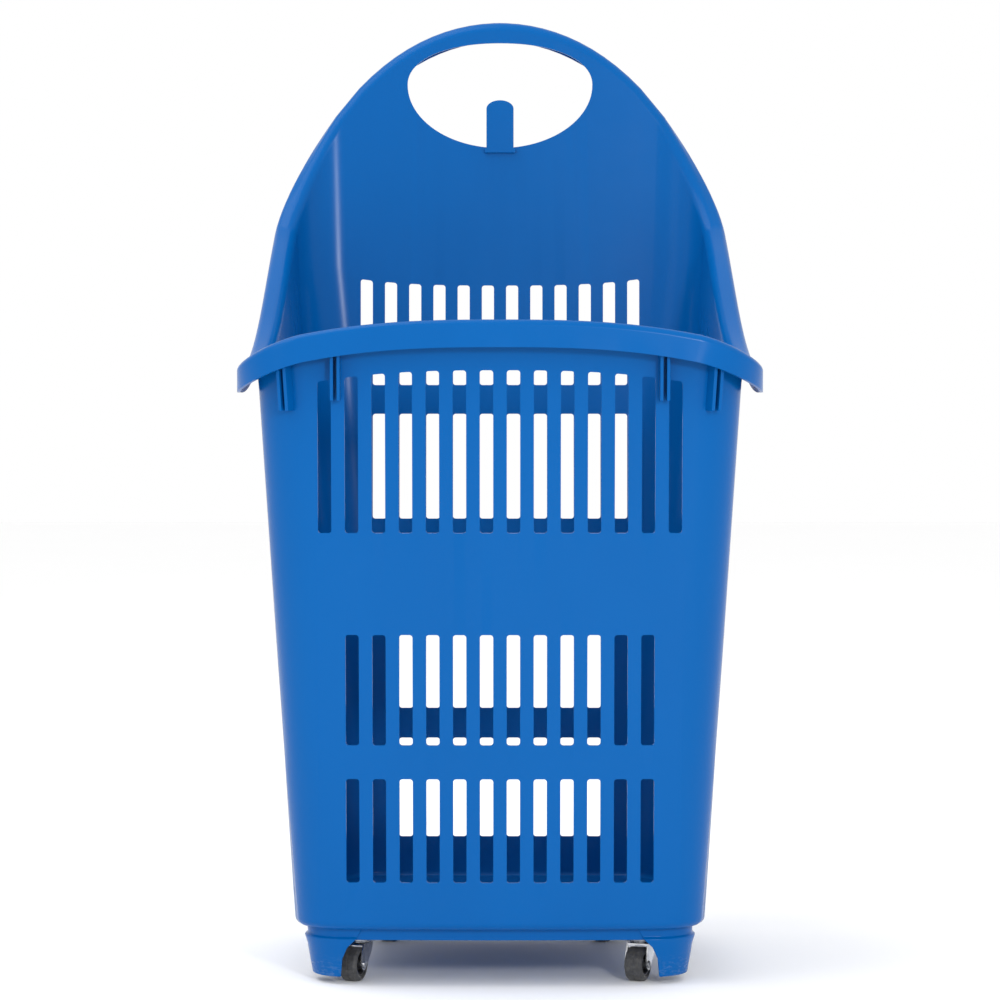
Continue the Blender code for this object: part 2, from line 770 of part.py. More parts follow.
def kingpin_mesh():
    under = FORK_TOP_Z - SHEET - GAP
    bottom = under - KINGPIN_HEAD_THICK
    return turned(((0.0, bottom), (KINGPIN_HEAD - 2 * HEAD_BEVEL, bottom), (KINGPIN_HEAD, under - HEAD_BEVEL),
                   (KINGPIN_HEAD, under), (KINGPIN_RADIUS, under), (KINGPIN_RADIUS, UNDER_Z - GAP),
                   (0.0, UNDER_Z - GAP)), PIN_SIDES)


def cheek_outline():
    """A fork cheek seen from its side: wide at the top, round about the axle. Y runs against the trail."""
    top = FORK_TOP_Z - SHEET / 2
    points = [(CHEEK_FRONT, top), (-CHEEK_BACK, top), (-TRAIL - CHEEK_END, WHEEL_RADIUS + CHEEK_END)]
    for i in range(5):
        angle = math.radians(mix(170, 314, i / 4))
        points.append((-TRAIL + CHEEK_END * math.cos(angle), WHEEL_RADIUS + CHEEK_END * math.sin(angle)))
    return points + [(CHEEK_FRONT - SHEET, mix(WHEEL_RADIUS, FORK_TOP_Z, 0.6))]


def fork_mesh():
    outer = CHEEK_INNER + SHEET
    outline = cheek_outline()
    cheeks = [
        prism([(side * CHEEK_INNER, y, z) for y, z in outline], [(side * outer, y, z) for y, z in outline])
        for side in (-1, 1)
    ]
    nose_x, nose_y = CROWN_NOSE
    right = [(outer, -CHEEK_BACK), (outer, CHEEK_FRONT), (nose_x, nose_y)]
    crown = right + [(-x, y) for x, y in reversed(right)]
    top = prism([(x, y, FORK_TOP_Z - SHEET) for x, y in crown], [(x, y, FORK_TOP_Z) for x, y in crown])
    pin_drill = drill(KINGPIN_RADIUS + GAP, FORK_TOP_Z - 2 * SHEET, FORK_TOP_Z + SHEET, PIN_SIDES)
    axle_drill = drill(AXLE_RADIUS + GAP, -2 * outer, 2 * outer, PIN_SIDES, "X")
    axle_drill.transform(Matrix.Translation((0.0, -TRAIL, WHEEL_RADIUS)))
    return combined(top, [("UNION", joined(cheeks)), ("DIFFERENCE", pin_drill), ("DIFFERENCE", axle_drill)])


def axle_mesh():
    under = CHEEK_INNER + SHEET + GAP
    end = under + HEAD_THICK
    half = ((0.0, end), (AXLE_HEAD - HEAD_BEVEL, end), (AXLE_HEAD, under), (AXLE_RADIUS, under))
    axle = turned(both_ways(half), PIN_SIDES, "X")
    axle.transform(Matrix.Translation((0.0, -TRAIL, WHEEL_RADIUS)))
    return axle


def hub_mesh():
    """Wheel centre: a boss for the axle, a thin web and the rim that holds the tyre."""
    boss_end, boss_foot = BOSS_RADII
    rim_foot, rim_edge = HUB_RIM_RADII
    half = ((AXLE_RADIUS + GAP, BOSS_HALF), (boss_end, BOSS_HALF), (boss_foot, WEB_HALF),
            (rim_foot, WEB_HALF), (rim_edge, HUB_HALF), (TYRE_SEAT - GAP, HUB_HALF))
    return turned(both_ways(half), HUB_SIDES, "X")


def tyre_mesh():
    """Tyre with rounded shoulders and a shallow groove round the middle of its tread."""
    half = ((TYRE_SEAT, HUB_HALF + GAP), (SIDEWALL_RADIUS, WHEEL_HALF), (SHOULDER_RADIUS, SHOULDER_HALF),
            (WHEEL_RADIUS, TREAD_HALF), (WHEEL_RADIUS, GROOVE_HALF))
    groove = (WHEEL_RADIUS - GROOVE_DEPTH, 0.0)
    return turned(both_ways(half, groove), TYRE_SIDES, "X")


def screw_mesh():
    under = UNDER_Z - PLATE_THICK - 2 * GAP
    bottom = under - SCREW_HEAD_THICK
    return turned(((0.0, bottom), (SCREW_HEAD - HEAD_BEVEL, bottom), (SCREW_HEAD, under - HEAD_BEVEL),
                   (SCREW_HEAD, under), (SCREW_RADIUS, under),
                   (SCREW_RADIUS, SCREW_END_Z - SCREW_POINT_LENGTH), (SCREW_POINT, SCREW_END_Z),
                   (0.0, SCREW_END_Z)), HOLE_SIDES)


# --- Assembly ---


def add_casters(shift, finishes):
    steel, zinc, plastic, rubber, screw_steel = finishes
    fixed = {"plate": (plate_mesh(), steel), "race": (race_mesh(), zinc), "kingpin": (kingpin_mesh(), steel)}
    swivelling = {"fork": (fork_mesh(), zinc), "axle": (axle_mesh(), steel)}
    on_axle = {"hub": (hub_mesh(), plastic), "tyre": (tyre_mesh(), rubber)}
    screw = screw_mesh()
    for mesh in [mesh for group in (fixed, swivelling, on_axle) for mesh, _ in group.values()] + [screw]:
        shaded(mesh)
    for name, at in caster_places():
        mount = add_empty(f"{name}_caster", at + shift)
        swivel = add_empty(f"{name}_swivel", (0.0, 0.0, 0.0), -REST_SWIVEL, mount)
        spin = add_empty(f"{name}_spin", (0.0, -TRAIL, WHEEL_RADIUS), 0.0, swivel)
        for parent, pieces in ((mount, fixed), (swivel, swivelling), (spin, on_axle)):
            for piece, (mesh, finish) in pieces.items():
                add_object(f"{name}_{piece}", mesh, finish, parent)
        for number, (dx, dy) in enumerate(screw_places(), 1):
            placed = add_object(f"{name}_screw_{number}", screw, screw_steel, mount)
            placed.location = (dx, dy, 0.0)


def build():
    clear_scene()
    blue = make_material("basket_plastic", (0.0, 0.125, 0.42), 0.34)
    steel = make_material("caster_steel", (0.55, 0.56, 0.58), 0.35, 1.0)
    zinc = make_material("caster_zinc", (0.66, 0.67, 0.69), 0.28, 1.0)
    hub_plastic = make_material("hub_plastic", (0.035, 0.036, 0.040), 0.45)
    rubber = make_material("tyre_rubber", (0.022, 0.023, 0.026), 0.6)
    screw_steel = make_material("screw_steel", (0.60, 0.60, 0.61), 0.3, 1.0)
    shift = Vector((0.0, centring(), 0.0))
    tub = add_object("basket_tub", shaded(tub_mesh()), blue)
    tub.location = shift
    add_casters(shift, (steel, zinc, hub_plastic, rubber, screw_steel))


build()
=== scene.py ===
"""Looks of the rolling basket trolley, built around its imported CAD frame.

Metres, +Z up. The low front rim faces -Y, and the casters stand on z = 0.
"""

import json
import math

import bmesh
import bpy
from mathutils import Matrix, Vector


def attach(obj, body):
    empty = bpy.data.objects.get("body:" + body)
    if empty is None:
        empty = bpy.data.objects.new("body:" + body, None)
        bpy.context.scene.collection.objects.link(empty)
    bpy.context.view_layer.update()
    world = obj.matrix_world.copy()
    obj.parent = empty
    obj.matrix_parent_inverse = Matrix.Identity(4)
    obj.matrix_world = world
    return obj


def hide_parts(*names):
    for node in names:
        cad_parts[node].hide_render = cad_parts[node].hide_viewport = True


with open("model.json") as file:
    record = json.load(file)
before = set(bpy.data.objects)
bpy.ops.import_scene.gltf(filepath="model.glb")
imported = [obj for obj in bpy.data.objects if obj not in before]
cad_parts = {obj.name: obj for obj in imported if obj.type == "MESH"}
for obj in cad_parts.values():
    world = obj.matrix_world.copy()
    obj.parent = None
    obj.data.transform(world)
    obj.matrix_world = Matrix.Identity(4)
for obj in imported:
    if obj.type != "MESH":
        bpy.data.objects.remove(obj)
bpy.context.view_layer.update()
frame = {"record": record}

# Basket tub: outer faces at the level of the floor's underside
FLOOR_Z = 0.052
FRONT_HALF = 0.1870
REAR_HALF = 0.1640
DEPTH_HALF = 0.1673
DRAFT = 0.0625
FRONT_BOW = 0.004
FRONT_RADIUS = 0.048
REAR_RADIUS = 0.053
WALL = 0.003
BOTTOM_EDGE = 0.007
BOTTOM_STEPS = 4
CORNER_STEPS = 14
CORNER_START = 0.04

# Rim heights along the front, the sides and the arch
RIM_FRONT_Z = 0.603
RIM_DROOP = 0.0225
RIM_DROOP_AT = 0.213
DROOP_POWER = 2.7
RIM_LOW_Z = 0.5620
LOW_SLOPE = -0.03
SIDE_END_Z = 0.691
SIDE_END_SLOPE = 0.50
CORNER_START_SLOPE = 0.94
CORNER_END_SLOPE = 1.46
CORNER_END_Z = 0.811
ARCH_TOP_Z = 0.9025
ARCH_BEND = 2.95
ARCH_SHOULDER = 22.0

# Rim section
FLANGE = 0.0185
FILLET = 0.007
LIP_RADIUS = 0.003
LIP_DROP = 0.0245
REAR_LIP_DROP = 0.018

# Slots
PITCH = 0.0241
SLOT = 0.012
REAR_PITCH = 0.0266
REAR_SLOT = 0.0136
SLOT_CORNER = 0.0026
FRONT_SLOTS = (12, 12, 14)
SIDE_SLOTS = (10, 10, 12)
REAR_SLOTS = (8, 8, 10, 10, 12)
FRONT_LEVELS = (0.0960, 0.1905, 0.2210, 0.3210, 0.4125, 0.5580)
SIDE_LEVELS = (0.0955, 0.1910, 0.2210, 0.3210, 0.4105, 0.5180)
REAR_LEVELS = (0.0940, 0.1915, 0.2210, 0.3210, 0.4085, 0.5125)
UPPER_LEVELS = (0.541, 0.556, 0.587, 0.640)
OUTER_SLOT_DROOP = 0.0102
OUTER_SLOT_RISE = 0.0063
FIRST_SLOT_STATION = BOTTOM_STEPS + 1  # where the lowest slots begin, counted up a column
REAR_STEP = 0.004

# Handle opening and tongue
HANDLE_HALF = 0.092
HANDLE_MIDDLE_Z = 0.840
HANDLE_UP = 0.0415
HANDLE_DOWN = 0.063
HANDLE_POWER = 2.15
TONGUE_HALF = 0.0135
TONGUE_FOOT_Z = 0.776
TONGUE_SHOULDER_Z = 0.816
TONGUE_TOP_Z = 0.8245
TONGUE_THICK = 0.009
TONGUE_FILLET = 0.002
TONGUE_ROOT = 0.004
HANDLE_CUT = 0.012

# Underside
UNDER_Z = 0.0415
PLINTH_INSET = 0.012
RIB = 0.004
PAD_HALF = 0.022
LEG_WALL = 0.004
LEG_LEVELS = (  # height, inset from the wall, inner end, length along the side
    (0.0535, 0.0105, 0.1240, 0.066),
    (0.0445, 0.0105, 0.1290, 0.064),
    (0.0425, 0.0075, 0.1305, 0.063),
    (0.0345, 0.0095, 0.1385, 0.060),
    (0.0240, 0.0106, 0.1430, 0.058),
    (0.0070, 0.0125, 0.1445, 0.057),
)
BLADES = ((0.146, 0.531), (0.190, 0.522))
BLADE = 0.003
BLADE_DEPTH = 0.013
BLADE_SPACING = 0.006

# Casters
TRAIL = 0.011
REST_SWIVEL = math.radians(21)
WHEEL_RADIUS = 0.0155
WHEEL_HALF = 0.0085
TYRE_SEAT = 0.0112
AXLE_RADIUS = 0.002
CHEEK_INNER = 0.0092
SHEET = 0.0015
FORK_TOP_Z = 0.0340
KINGPIN_RADIUS = 0.003
PLATE_HALF = 0.019
PLATE_THICK = 0.002
SCREW_OFFSET = 0.0145
SCREW_RADIUS = 0.0016
SCREW_END_Z = 0.050
GAP = 0.0003
ROUND_SIDES = 64

# Caster plate and swivel race
PLATE_CORNER = 0.004
RACE_RADIUS = 0.0120
RACE_FOOT = 0.0015
RACE_SHOULDER = (0.0008, 0.0010)  # inwards, and down from the top
RACE_GROOVE_DOWN = 0.0022  # its middle, from the top
RACE_GROOVE_HALVES = (0.0006, 0.0002)  # at its mouth and at its floor
RACE_GROOVE_DEPTH = 0.0005

# Domed heads: (radius, distance from the face that they bear on), from the middle outwards
KINGPIN_HEAD = ((0.0, 0.0016), (0.0022, 0.0015), (0.0038, 0.0010), (0.0046, 0.0002), (0.0046, 0.0))
AXLE_HEAD = ((0.0, 0.0012), (0.0018, 0.0011), (0.0030, 0.0007), (0.0034, 0.0))
SCREW_HEAD = ((0.0, 0.0018), (0.0016, 0.0017), (0.0026, 0.0013), (0.0032, 0.0004), (0.0032, 0.0))
SCREW_TIP_RADIUS = 0.0005
SCREW_TIP_LENGTH = 0.002
SCREW_TURN = 0.7
RECESS_ARM = 0.0017
RECESS_HALF = 0.0003
RECESS_DEPTH = 0.0009

# Fork, seen from its side: (y from the swivel axis, z)
CHEEK_FRONT = 0.0095
CHEEK_BACK = 0.0115
CHEEK_HEEL = (-0.0165, WHEEL_RADIUS + 0.006)
CHEEK_THROAT = (0.0070, WHEEL_RADIUS + 0.0105)
AXLE_BOSS = 0.0055
AXLE_BOSS_FROM = math.radians(170)
AXLE_BOSS_TO = math.radians(314)
CROWN_NOSE = (0.005, 0.0125)

# Hub and tyre
HUB_BOSS_RADII = (0.0042, 0.0046)  # at its end and at the web
HUB_RIM_RADII = (0.0086, 0.0092)  # of its inside, at the web and at the edge
HUB_WEB_HALF = 0.0028
HUB_BOSS_CLEARANCE = 0.0006
HUB_RECESS = 0.001
SIDEWALL_RADIUS = 0.0128
SIDEWALL_TAPER = 0.0005
TYRE_SHOULDER = 0.0028
TREAD_GROOVE_HALVES = (0.0007, 0.0003)  # at its mouth and at its floor
TREAD_GROOVE_DEPTH = 0.0005

# Rounding of each piece's edges
EDGES = {
    "shell": 0.0007,
    "tongue": 0.0022,
    "plinth": 0.0008,
    "ribs": 0.0008,
    "gussets": 0.0006,
    "leg": 0.0010,
    "plate": 0.0004,
    "race": 0.0002,
    "kingpin": 0.0001,
    "fork": 0.0005,
    "hub": 0.0003,
}
SHARP_ANGLE = math.radians(35)

# Plastic colours
BLUE_DEEP = (0.000, 0.092, 0.330)
BLUE_LIGHT = (0.000, 0.097, 0.345)
BLUE_SCUFFED = (0.110, 0.190, 0.330)

# Studio: each light's name, place, aim, size and power
FLOOR_HALF = 9.0
LIGHTS = (
    ("overhead", (-1.3, -0.3, 3.0), (0.0, 0.0, 0.4), (2.2, 2.4), 38),
    ("front_right", (0.95, -3.1, 1.25), (0.0, 0.0, 0.6), (0.30, 0.40), 34),
    ("front_left", (-2.6, -2.4, 1.7), (0.0, 0.0, 0.5), (1.4, 1.8), 6),
)
CAMERA_PLACE = (0.0, -3.546, 0.576)
CAMERA_TILT = math.radians(90 - 2.289)
CAMERA_LENS = 135.1
CAMERA_SENSOR = 36.0


def joint_place(name):
    joints = frame["record"]["behaviour"]["joints"]
    return Vector(next(joint["pos_m"] for joint in joints if joint["name"] == name))


SHIFT = Vector((0.0, frame["record"]["mounts"][0]["pos_m"][1], 0.0))
CASTERS = {
    name: joint_place(f"{name}_swivel_hinge")
    for name in ("front_left", "front_right", "rear_left", "rear_right")
}


# --- Small tools ---


def mix(a, b, share):
    return a + (b - a) * share


def hermite(start, end, start_slope, end_slope, length, share):
    s2, s3 = share**2, share**3
    return (
        (2 * s3 - 3 * s2 + 1) * start
        + (s3 - 2 * s2 + share) * length * start_slope
        + (3 * s2 - 2 * s3) * end
        + (s3 - s2) * length * end_slope
    )


def add_object(name, mesh, material=None, body=None):
    made = bpy.data.objects.new(name, mesh)
    bpy.context.scene.collection.objects.link(made)
    if material:
        mesh.materials.clear()
        mesh.materials.append(material)
    if body:
        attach(made, body)
    return made


def mesh_of(shape, name, outward=True):
    if outward:
        bmesh.ops.recalc_face_normals(shape, faces=shape.faces)
    mesh = bpy.data.meshes.new(name)
    shape.to_mesh(mesh)
    shape.free()
    mesh.shade_smooth()
    return mesh


def prism(near, far):
    shape = bmesh.new()
    loops = [[shape.verts.new(point) for point in outline] for outline in (near, far)]
    count = len(near)
    shape.faces.new(loops[0])
    shape.faces.new(reversed(loops[1]))
    for i in range(count):
        j = (i + 1) % count
        shape.faces.new((loops[0][i], loops[1][i], loops[1][j], loops[0][j]))
    return mesh_of(shape, "prism")


def block(low, high):
    corners = [(low[0], low[1]), (high[0], low[1]), (high[0], high[1]), (low[0], high[1])]
    return prism([(x, y, low[2]) for x, y in corners], [(x, y, high[2]) for x, y in corners])


def turned(profile, segments=ROUND_SIDES, axis="Z"):
    """A ring or a solid of revolution from (radius, height) points."""
    shape = bmesh.new()
    rings = []
    for radius, height in profile:
        if radius == 0.0:
            rings.append([shape.verts.new((0.0, 0.0, height))] * segments)
            continue
        angles = (2 * math.pi * i / segments for i in range(segments))
        spots = ((radius * math.cos(a), radius * math.sin(a), height) for a in angles)
        rings.append([shape.verts.new(spot) for spot in spots])
    pairs = list(zip(rings, rings[1:]))
    if profile[0][0] > 0.0:
        pairs.append((rings[-1], rings[0]))
    for lower, upper in pairs:
        for i in range(segments):
            j = (i + 1) % segments
            corners = list(dict.fromkeys((lower[i], lower[j], upper[j], upper[i])))
            if len(corners) > 2:
                shape.faces.new(corners)
    if axis == "X":
        bmesh.ops.rotate(shape, verts=shape.verts, matrix=Matrix.Rotation(math.pi / 2, 3, "Y"))
    return mesh_of(shape, "turned")


def joined(meshes):
    shape = bmesh.new()
    for mesh in meshes:
        shape.from_mesh(mesh)
    return mesh_of(shape, "joined", outward=False)


def finished(base, cuts=(), bevel=0.0, steps=2, modifiers=()):
    """The mesh after its modifiers, Boolean steps and rounded edges, with weighted normals."""
    helpers = [add_object("base", base)]
    for kind, settings in modifiers:
        modifier = helpers[0].modifiers.new(kind, kind)
        for name, value in settings.items():
            setattr(modifier, name, value)
    for operation, mesh in cuts:
        helpers.append(add_object("operand", mesh))
        modifier = helpers[0].modifiers.new(operation, "BOOLEAN")
        modifier.operation = operation
        modifier.object = helpers[-1]
    if bevel:
        modifier = helpers[0].modifiers.new("bevel", "BEVEL")
        modifier.width = bevel
        modifier.segments = steps
        modifier.angle_limit = SHARP_ANGLE
        modifier.use_clamp_overlap = True
    normals = helpers[0].modifiers.new("normals", "WEIGHTED_NORMAL")
    normals.weight = 80
    graph = bpy.context.evaluated_depsgraph_get()
    result = helpers[0].evaluated_get(graph)
    made = bpy.data.meshes.new_from_object(result, preserve_all_data_layers=True, depsgraph=graph)
    for helper in helpers:
        bpy.data.objects.remove(helper, do_unlink=True)
    return made


# --- Procedural materials ---


class Finish:
    """A Principled material with noise-driven colour, roughness and bump."""

    def __init__(self, name, metallic=0.0, **sockets):
        self.material = bpy.data.materials.new(name)
        self.material.use_nodes = True
        self.tree = self.material.node_tree
        self.shader = self.tree.nodes["Principled BSDF"]
        self.shader.inputs["Metallic"].default_value = metallic
        for socket, value in sockets.items():
            self.shader.inputs[socket.replace("_", " ")].default_value = value
        self.place = self.node("ShaderNodeTexCoord").outputs["Object"]

    def node(self, kind, **settings):
        made = self.tree.nodes.new(kind)
        for name, value in settings.items():
            setattr(made, name, value)
        return made

    def link(self, output, target):
        self.tree.links.new(output, target)

    def noise(self, scale, detail=3.0, roughness=0.5, stretch=(1.0, 1.0, 1.0)):
        mapping = self.node("ShaderNodeMapping")
        mapping.inputs["Scale"].default_value = stretch
        self.link(self.place, mapping.inputs["Vector"])
        made = self.node("ShaderNodeTexNoise")
        made.inputs["Scale"].default_value = scale
        made.inputs["Detail"].default_value = detail
        made.inputs["Roughness"].default_value = roughness
        self.link(mapping.outputs["Vector"], made.inputs["Vector"])
        return made.outputs["Fac"]

    def ranged(self, value, low, high, start, end):
        made = self.node("ShaderNodeMapRange")
        for name, number in (("From Min", low), ("From Max", high), ("To Min", start), ("To Max", end)):
            made.inputs[name].default_value = number
        self.link(value, made.inputs["Value"])
        return made.outputs["Result"]

    def math(self, operation, first, second):
        made = self.node("ShaderNodeMath", operation=operation)
        for socket, value in zip(made.inputs, (first, second)):
            if isinstance(value, (int, float)):
                socket.default_value = value
            else:
                self.link(value, socket)
        return made.outputs[0]

    def blended(self, share, first, second):
        made = self.node("ShaderNodeMix", data_type="RGBA")
        for socket, value in ((made.inputs[0], share), (made.inputs[6], first), (made.inputs[7], second)):
            if isinstance(value, tuple):
                socket.default_value = (*value, 1.0)
            elif isinstance(value, float):
                socket.default_value = value
            else:
                self.link(value, socket)
        return made.outputs[2]

    def height(self):
        split = self.node("ShaderNodeSeparateXYZ")
        self.link(self.place, split.inputs[0])
        return split.outputs["Z"]

    def edges(self, low, high):
        """1 on outer edges that rub, 0 elsewhere."""
        return self.ranged(self.node("ShaderNodeNewGeometry").outputs["Pointiness"], low, high, 0.0, 1.0)

    def bump(self, *layers):
        """Stacks (height, strength, distance) layers on the normal."""
        normal = None
        for height, strength, distance in layers:
            made = self.node("ShaderNodeBump")
            made.inputs["Strength"].default_value = strength
            made.inputs["Distance"].default_value = distance
            self.link(height, made.inputs["Height"])
            if normal:
                self.link(normal, made.inputs["Normal"])
            normal = made.outputs["Normal"]
        self.link(normal, self.shader.inputs["Normal"])

    def color(self, value):
        self.link(value, self.shader.inputs["Base Color"])

    def roughness(self, value):
        self.link(value, self.shader.inputs["Roughness"])


def basket_plastic():
    """Injection-moulded polypropylene: fine orange peel, soft flow marks and scuffed feet."""
    made = Finish("basket_plastic", Specular_IOR_Level=0.11, IOR=1.49)
    flow = made.noise(9.0, 3.0, 0.55, (1.0, 1.0, 0.35))
    speckle = made.noise(420.0, 2.0)
    base = made.blended(made.ranged(flow, 0.3, 0.7, 0.0, 1.0), BLUE_DEEP, BLUE_LIGHT)
    low = made.ranged(made.height(), 0.006, 0.030, 1.0, 0.0)
    scratches = made.noise(160.0, 6.0, 0.7, (1.0, 1.0, 3.0))
    scuffed = made.math("MULTIPLY", low, made.ranged(scratches, 0.48, 0.66, 0.0, 0.5))
    made.color(made.blended(scuffed, base, BLUE_SCUFFED))
    satin = made.ranged(made.noise(34.0, 4.0), 0.25, 0.75, 0.21, 0.24)
    made.roughness(made.math("ADD", satin, made.math("MULTIPLY", scuffed, 0.35)))
    made.bump((made.noise(700.0, 2.0), 0.05, 0.0001), (speckle, 0.04, 0.0001))
    return made.material


def plated_steel(name, color, roughness, brushed):
    """Zinc plate: fine grain, faint clouding and darker dirt in the noise's hollows."""
    made = Finish(name, 1.0, Specular_IOR_Level=0.6)
    cloud = made.noise(130.0, 4.0, 0.6)
    darker = tuple(0.62 * part for part in color)
    base = made.blended(made.ranged(cloud, 0.32, 0.72, 0.0, 1.0), darker, color)
    worn = made.edges(0.53, 0.62)
    made.color(made.blended(made.math("MULTIPLY", worn, 0.5), base, (0.86, 0.87, 0.89)))
    grain = made.noise(900.0, 3.0, 0.6, (1.0, 1.0, 0.08) if brushed else (1.0, 1.0, 1.0))
    made.roughness(made.ranged(grain, 0.2, 0.8, roughness - 0.07, roughness + 0.10))
    made.bump((grain, 0.10, 0.0001), (cloud, 0.06, 0.0003))
    return made.material


def hub_plastic():
    made = Finish("hub_plastic", Coat_Weight=0.05)
    cloud = made.noise(240.0, 3.0)
    share = made.ranged(cloud, 0.3, 0.7, 0.0, 1.0)
    made.color(made.blended(share, (0.022, 0.023, 0.026), (0.040, 0.041, 0.046)))
    made.roughness(made.ranged(cloud, 0.2, 0.8, 0.34, 0.5))
    made.bump((made.noise(1500.0, 2.0), 0.12, 0.0001))
    return made.material


def tyre_rubber():
    """Moulded rubber tread: dusty grey patches, matt, with a fine grain."""
    made = Finish("tyre_rubber", Sheen_Weight=0.15, Sheen_Roughness=0.5)
    dust = made.noise(300.0, 5.0, 0.65)
    share = made.ranged(dust, 0.42, 0.72, 0.0, 0.6)
    made.color(made.blended(share, (0.030, 0.031, 0.034), (0.115, 0.112, 0.106)))
    made.roughness(made.ranged(dust, 0.3, 0.7, 0.58, 0.78))
    made.bump((made.noise(1100.0, 3.0), 0.25, 0.00015), (dust, 0.15, 0.0002))
    return made.material


def floor_paper():
    made = Finish("studio_floor", Specular_IOR_Level=0.15)
    grain = made.noise(3.0, 2.0)
    made.color(made.blended(grain, (0.975, 0.975, 0.975), (0.985, 0.985, 0.985)))
    made.roughness(made.ranged(grain, 0.3, 0.7, 0.75, 0.85))
    return made.material


# --- Plan of the tub: the right half of a rounded trapezoid that grows with height ---


class Plan:
    def __init__(self, z, inset=0.0):
        grow = DRAFT * (z - FLOOR_Z) - inset
        self.front_radius = FRONT_RADIUS - inset
        self.rear_radius = REAR_RADIUS - inset
        self.front = Vector((FRONT_HALF + grow - self.front_radius, self.front_radius - DEPTH_HALF - grow))
        self.rear = Vector((REAR_HALF + grow - self.rear_radius, DEPTH_HALF + grow - self.rear_radius))
        between = self.rear - self.front
        heading = math.atan2(between.y, between.x)
        self.side_angle = heading - math.acos((self.front_radius - self.rear_radius) / between.length)

    def front_arc(self, angle):
        return self.arc(self.front, self.front_radius, angle)

    def rear_arc(self, angle):
        return self.arc(self.rear, self.rear_radius, angle)

    @staticmethod
    def arc(centre, radius, angle):
        normal = Vector((math.cos(angle), math.sin(angle)))
        return centre + radius * normal, normal

    def front_angle(self, x):
        return math.asin(max(0.0, x - self.front.x) / self.front_radius) - math.pi / 2

    def rear_angle(self, x):
        return math.pi / 2 - math.asin(max(0.0, x - self.rear.x) / self.rear_radius)

    def side_front_angle(self, y):
        return min(self.side_angle, math.asin(min(1.0, (y - self.front.y) / self.front_radius)))

    def side_rear_angle(self, y):
        return max(self.side_angle, math.asin(max(-1.0, (y - self.rear.y) / self.rear_radius)))

    def side_start_y(self):
        return self.front_arc(self.side_angle)[0].y

    def side_end_y(self):
        return self.rear_arc(self.side_angle)[0].y

    def on_front(self, x):
        if x > self.front.x:
            return self.front_arc(self.front_angle(x))
        bow = FRONT_BOW * (1 - (x / self.front.x) ** 2)
        lean = math.atan(2 * FRONT_BOW * x / self.front.x**2)
        spot = Vector((x, self.front.y - self.front_radius - bow))
        return spot, Vector((math.sin(lean), -math.cos(lean)))

    def on_side(self, y):
        if self.side_front_angle(y) < self.side_angle:
            return self.front_arc(self.side_front_angle(y))
        if self.side_rear_angle(y) > self.side_angle:
            return self.rear_arc(self.side_rear_angle(y))
        touch, normal = self.front_arc(self.side_angle)
        return Vector((touch.x - (y - touch.y) * normal.y / normal.x, y)), normal

    def on_rear(self, x):
        if x > self.rear.x:
            return self.rear_arc(self.rear_angle(x))
        return Vector((x, self.rear.y + self.rear_radius)), Vector((0.0, 1.0))

    def on_front_corner(self, share):
        start, end = self.front_angle(FRONT_END), self.side_front_angle(-SIDE_END)
        return self.front_arc(mix(start, end, share))

    def on_rear_corner(self, share):
        start, end = self.side_rear_angle(SIDE_END), self.rear_angle(REAR_END)
        return self.rear_arc(mix(start, end, share))


def slot_edge(number, side, pitch=PITCH, width=SLOT):
    return (number + 0.5) * pitch + side * width / 2


FRONT_END = slot_edge(FRONT_SLOTS[2] // 2 - 1, 1)
SIDE_END = slot_edge(SIDE_SLOTS[2] // 2 - 1, 1)
REAR_LOWER_END = slot_edge(REAR_SLOTS[2] // 2 - 1, 1, REAR_PITCH, REAR_SLOT)
REAR_UPPER_END = slot_edge(REAR_SLOTS[-1] // 2 - 1, 1)
REAR_END = REAR_LOWER_END + 2 * REAR_STEP


